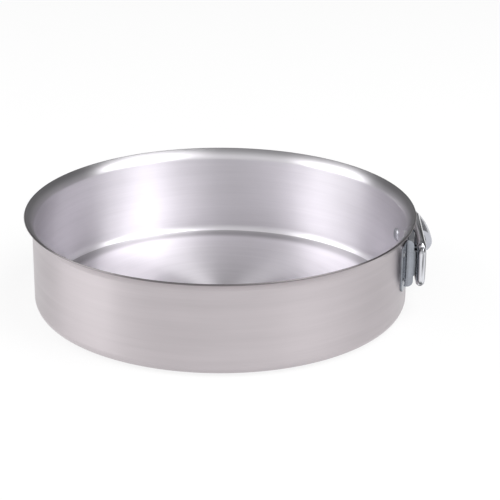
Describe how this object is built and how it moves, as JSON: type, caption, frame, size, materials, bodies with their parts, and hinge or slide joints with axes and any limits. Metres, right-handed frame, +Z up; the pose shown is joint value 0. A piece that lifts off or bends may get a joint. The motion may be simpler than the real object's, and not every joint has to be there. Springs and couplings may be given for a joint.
{
  "type": "springform cake tin",
  "caption": "Round flared aluminium cake tin with a pressed base, closed on its side by a riveted draw latch with an arched lever, a wire loop and a hook plate.",
  "frame": {"origin": "centre of the face that the tin stands on", "axes": "+Z up along the tin's axis, +X towards the clasp, the clasp's hook on its -Y side"},
  "size_m": [0.2845, 0.271, 0.067],
  "materials": {
    "aluminium_wall": "satin, brushed round the tin",
    "aluminium_base": "satin, brushed in circles",
    "plated_plate": "zinc plated, half bright",
    "plated_lever": "zinc plated, bright",
    "plated_wire": "zinc plated, bright",
    "rivet_steel": "bright, domed"
  },
  "bodies": {
    "tin": {"ring_band": "aluminium_wall", "base_tray": "aluminium_base", "catch_plate": "plated_plate", "catch_rivet_upper": "rivet_steel", "catch_rivet_lower": "rivet_steel", "hinge_bracket": "plated_plate", "bracket_rivet_front": "rivet_steel", "bracket_rivet_back": "rivet_steel", "hinge_pin": "rivet_steel"},
    "lever": {"lever": "plated_lever"},
    "bail": {"wire_bail": "plated_wire"}
  },
  "joints": [
    {"name": "lever_swing", "type": "hinge", "parent": "tin", "child": "lever", "pos_m": [0.1392, 0.0165, 0.0395], "axis": [0, 0, -1], "range_deg": [0, 75]},
    {"name": "bail_swing", "type": "hinge", "parent": "lever", "child": "bail", "pos_m": [0.1379, 0.0265, 0.0395], "axis": [0, 0, 1], "range_deg": [0, 63]}
  ],
  "couplings": [
    {"joint": "bail_swing", "follows": "lever_swing", "ratio": 0.8375}
  ]
}
